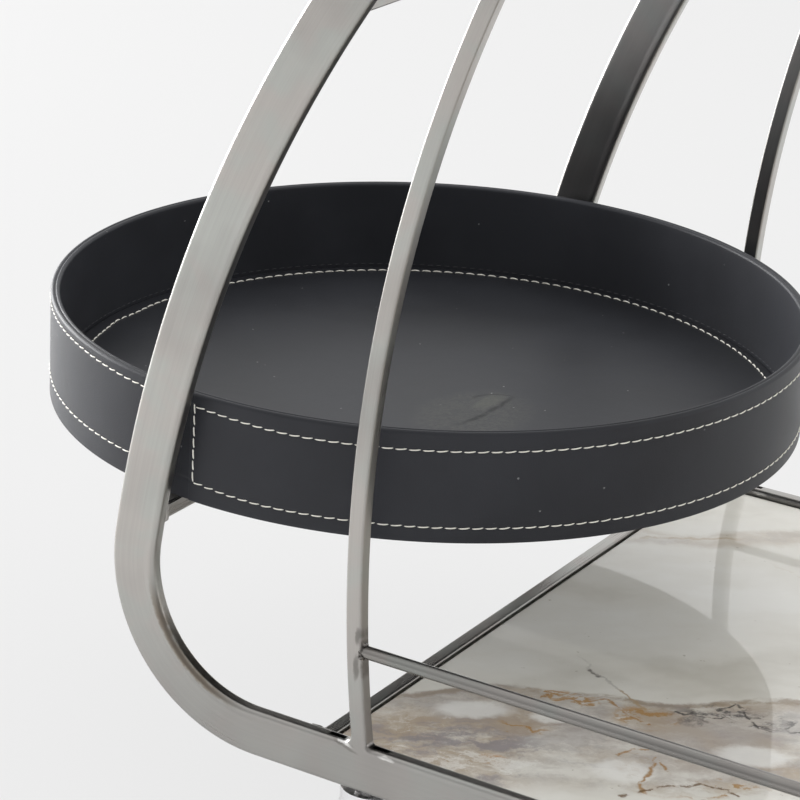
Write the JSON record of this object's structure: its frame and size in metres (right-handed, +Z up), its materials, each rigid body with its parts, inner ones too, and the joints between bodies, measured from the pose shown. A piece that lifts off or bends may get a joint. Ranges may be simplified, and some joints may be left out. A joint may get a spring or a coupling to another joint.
{
  "type": "bar cart",
  "caption": "Bar cart with two bent flat-bar arch frames, two stone shelves, gallery rods, a round lift-off leather tray over one end and swivel casters.",
  "frame": {"origin": "on the floor under the middle of the whole outline, tray included", "axes": "+X along the cart, away from the round tray; +Y across the cart, from the near side frame to the far one; +Z up"},
  "size_m": [1.0398, 0.426, 0.7204],
  "materials": {
    "bar_metal": "satin lengthwise brushing, gunmetal nickel",
    "stone": "polished sintered stone with brown, grey and ochre veins",
    "leather": "smooth black hide with cream stitching",
    "board": "board covered in black leather",
    "grip_pad": "matt",
    "chrome": "polished",
    "wheel_core": "moulded",
    "tyre": "matt",
    "pedal": "moulded"
  },
  "bodies": {
    "frame": {"near_bottom_rail": "bar_metal", "near_left_bend": "bar_metal", "near_right_bend": "bar_metal", "near_left_side_bar": "bar_metal", "near_right_side_bar": "bar_metal", "near_crown": "bar_metal", "far_bottom_rail": "bar_metal", "far_left_bend": "bar_metal", "far_right_bend": "bar_metal", "far_left_side_bar": "bar_metal", "far_right_side_bar": "bar_metal", "far_crown": "bar_metal", "near_left_thin_bar": "bar_metal", "near_right_thin_bar": "bar_metal", "far_left_thin_bar": "bar_metal", "far_right_thin_bar": "bar_metal", "near_upper_rail": "bar_metal", "far_upper_rail": "bar_metal", "shelf_left_bar": "bar_metal", "shelf_right_bar": "bar_metal", "upper_shelf_left_bar": "bar_metal", "upper_shelf_right_bar": "bar_metal", "left_spreader_bar": "bar_metal", "right_spreader_bar": "bar_metal", "handle_bars": "bar_metal", "near_gallery_rod": "bar_metal", "far_gallery_rod": "bar_metal", "upper_rods": "bar_metal", "lower_ledges": "bar_metal", "upper_ledges": "bar_metal", "shelf_braces": "bar_metal", "lower_stone_shelf": "stone", "upper_stone_shelf": "stone", "tray_bar": "bar_metal", "tray_bearers": "bar_metal", "tray_pads": "grip_pad", "caster_blocks": "bar_metal", "caster_stems": "chrome"},
    "tray": {"tray_floor": "board", "tray_wall": "leather", "tray_mat": "leather"},
    "near_left_caster": {"near_left_fork": "chrome", "near_left_axle": "chrome"},
    "near_left_wheel": {"near_left_core": "wheel_core", "near_left_tyre": "tyre"},
    "far_left_caster": {"far_left_fork": "chrome", "far_left_axle": "chrome"},
    "far_left_wheel": {"far_left_core": "wheel_core", "far_left_tyre": "tyre"},
    "near_right_caster": {"near_right_fork": "chrome", "near_right_axle": "chrome"},
    "near_right_wheel": {"near_right_core": "wheel_core", "near_right_tyre": "tyre"},
    "far_right_caster": {"far_right_fork": "chrome", "far_right_axle": "chrome"},
    "far_right_wheel": {"far_right_core": "wheel_core", "far_right_tyre": "tyre"},
    "near_pedal": {"near_brake_pedal": "pedal"},
    "far_pedal": {"far_brake_pedal": "pedal"}
  },
  "joints": [
    {"name": "tray_lift", "type": "slide", "parent": "frame", "child": "tray", "axis": [0, 0, 1], "range_m": [0, 0.18]},
    {"name": "near_left_swivel", "type": "hinge", "parent": "frame", "child": "near_left_caster", "pos_m": [-0.2221, -0.196, 0.068], "axis": [0, 0, 1], "continuous": true},
    {"name": "near_left_roll", "type": "hinge", "parent": "near_left_caster", "child": "near_left_wheel", "pos_m": [-0.2021, -0.196, 0.025], "axis": [0, 1, 0], "continuous": true},
    {"name": "far_left_swivel", "type": "hinge", "parent": "frame", "child": "far_left_caster", "pos_m": [-0.2221, 0.196, 0.068], "axis": [0, 0, 1], "continuous": true},
    {"name": "far_left_roll", "type": "hinge", "parent": "far_left_caster", "child": "far_left_wheel", "pos_m": [-0.2021, 0.196, 0.025], "axis": [0, 1, 0], "continuous": true},
    {"name": "near_right_swivel", "type": "hinge", "parent": "frame", "child": "near_right_caster", "pos_m": [0.3719, -0.196, 0.068], "axis": [0, 0, 1], "continuous": true},
    {"name": "near_right_roll", "type": "hinge", "parent": "near_right_caster", "child": "near_right_wheel", "pos_m": [0.3919, -0.196, 0.025], "axis": [0, 1, 0], "continuous": true},
    {"name": "far_right_swivel", "type": "hinge", "parent": "frame", "child": "far_right_caster", "pos_m": [0.3719, 0.196, 0.068], "axis": [0, 0, 1], "continuous": true},
    {"name": "far_right_roll", "type": "hinge", "parent": "far_right_caster", "child": "far_right_wheel", "pos_m": [0.3919, 0.196, 0.025], "axis": [0, 1, 0], "continuous": true},
    {"name": "near_brake", "type": "hinge", "parent": "near_right_caster", "child": "near_pedal", "pos_m": [0.41054, -0.196, 0.04722], "axis": [0, 1, 0], "range_deg": [0, 20]},
    {"name": "far_brake", "type": "hinge", "parent": "far_right_caster", "child": "far_pedal", "pos_m": [0.41054, 0.196, 0.04722], "axis": [0, 1, 0], "range_deg": [0, 20]}
  ]
}
